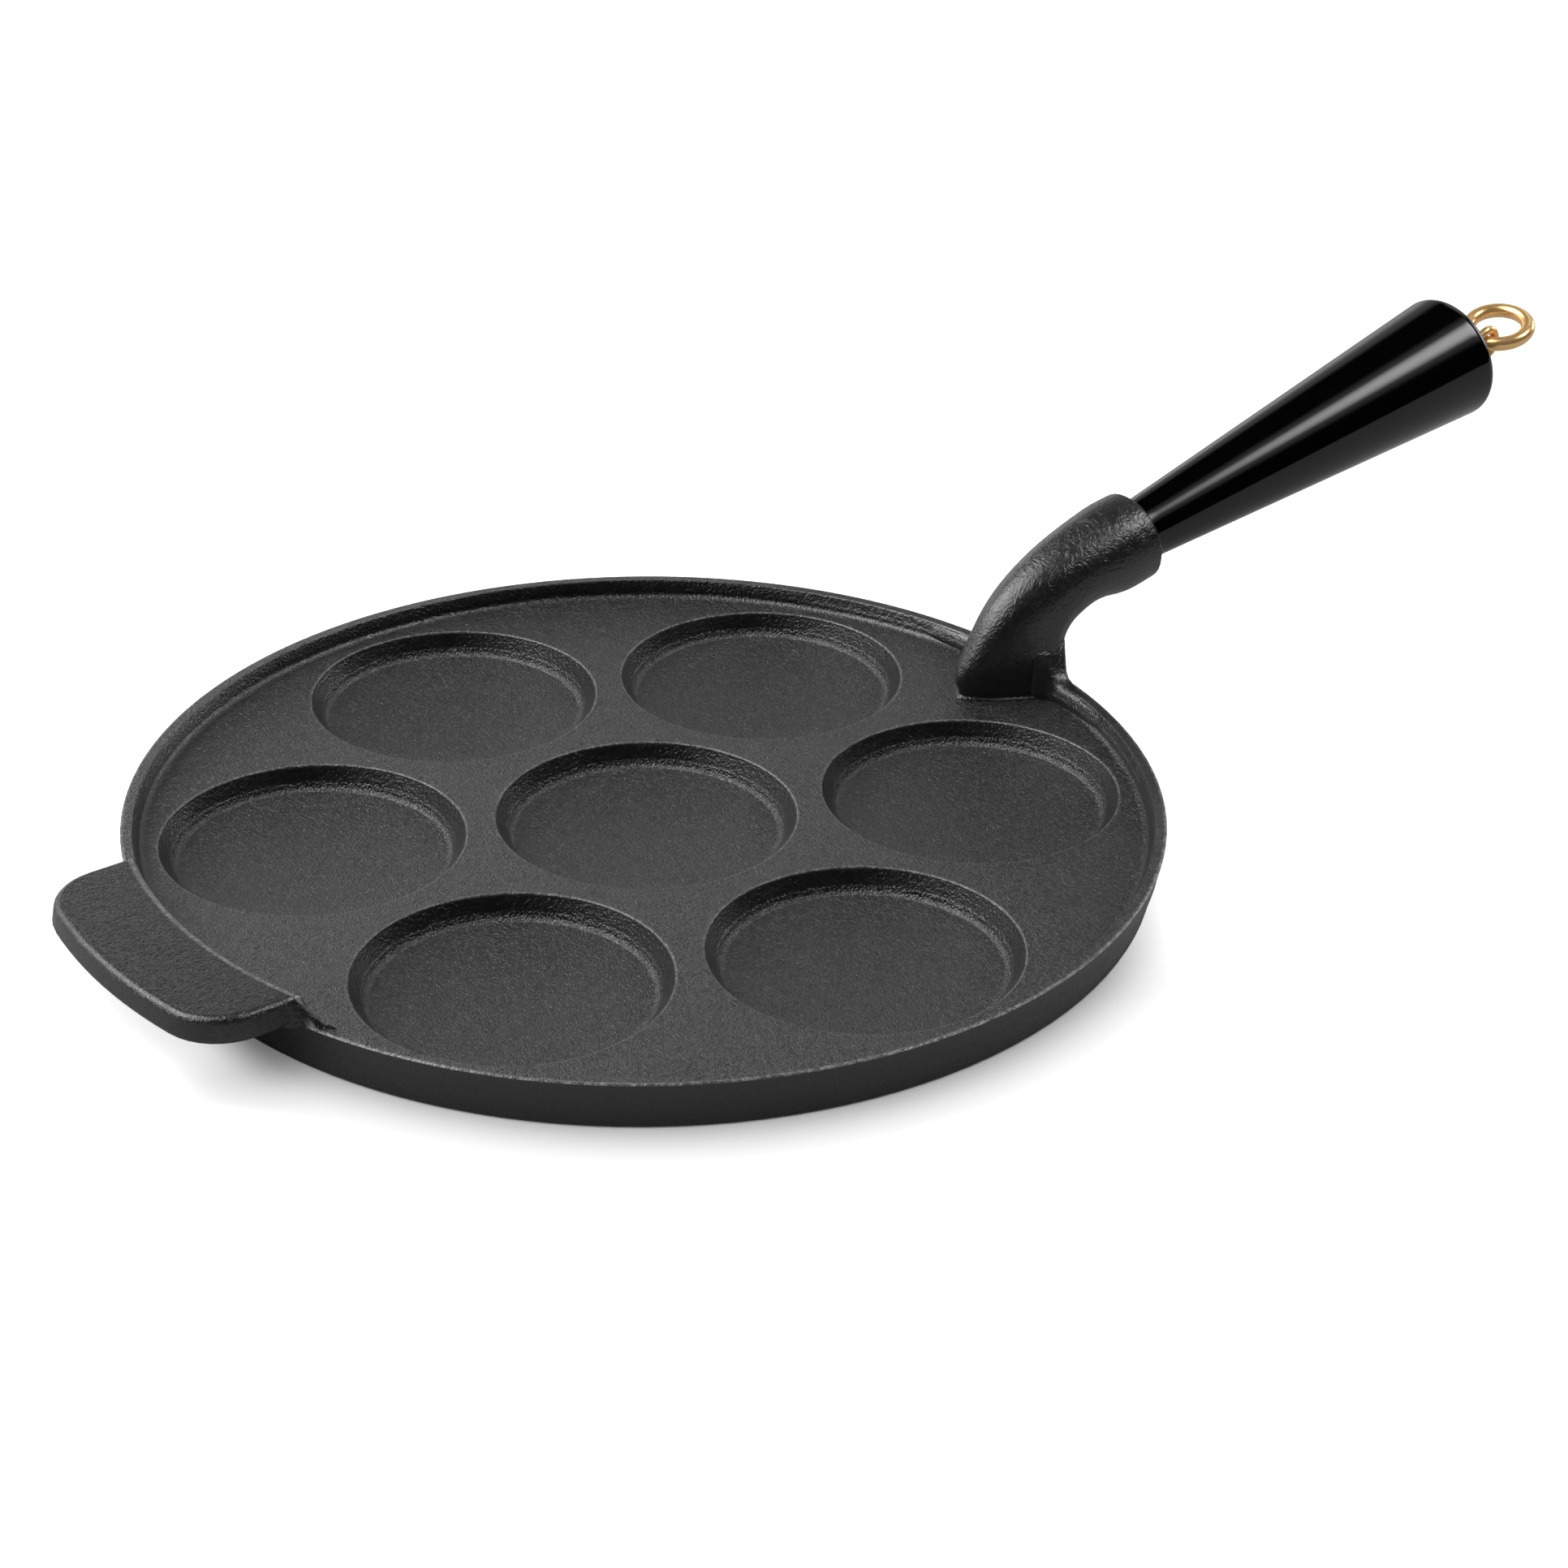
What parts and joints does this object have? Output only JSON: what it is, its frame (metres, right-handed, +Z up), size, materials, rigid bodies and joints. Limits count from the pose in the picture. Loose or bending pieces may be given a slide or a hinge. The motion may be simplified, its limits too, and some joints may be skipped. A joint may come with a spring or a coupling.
{
  "type": "blini pan",
  "caption": "Round cast pan with shallow wells for small pancakes, a raised helper tab, and a tapered round handle in a curved cast socket, with a loose hanging ring.",
  "frame": {"origin": "centre of the pan's underside, which is the flat face the pan rests on", "axes": "+Z up, the handle runs along +X and the helper tab lies toward -X"},
  "size_m": [0.4172, 0.23, 0.0734],
  "materials": {
    "iron": "seasoned, satin, fine as-cast grain",
    "gloss_black": "gloss black",
    "brass": "polished"
  },
  "bodies": {
    "pan": {"pan_casting": "iron", "handle_grip": "gloss_black", "eye_rod": "brass"},
    "ring": {"hanging_ring": "brass"}
  },
  "joints": [
    {"name": "ring_hinge", "type": "hinge", "parent": "pan", "child": "ring", "pos_m": [0.26638, 0, 0.05838], "axis": [-0.342, 0.9397, 0], "range_deg": [-125, 130]}
  ]
}
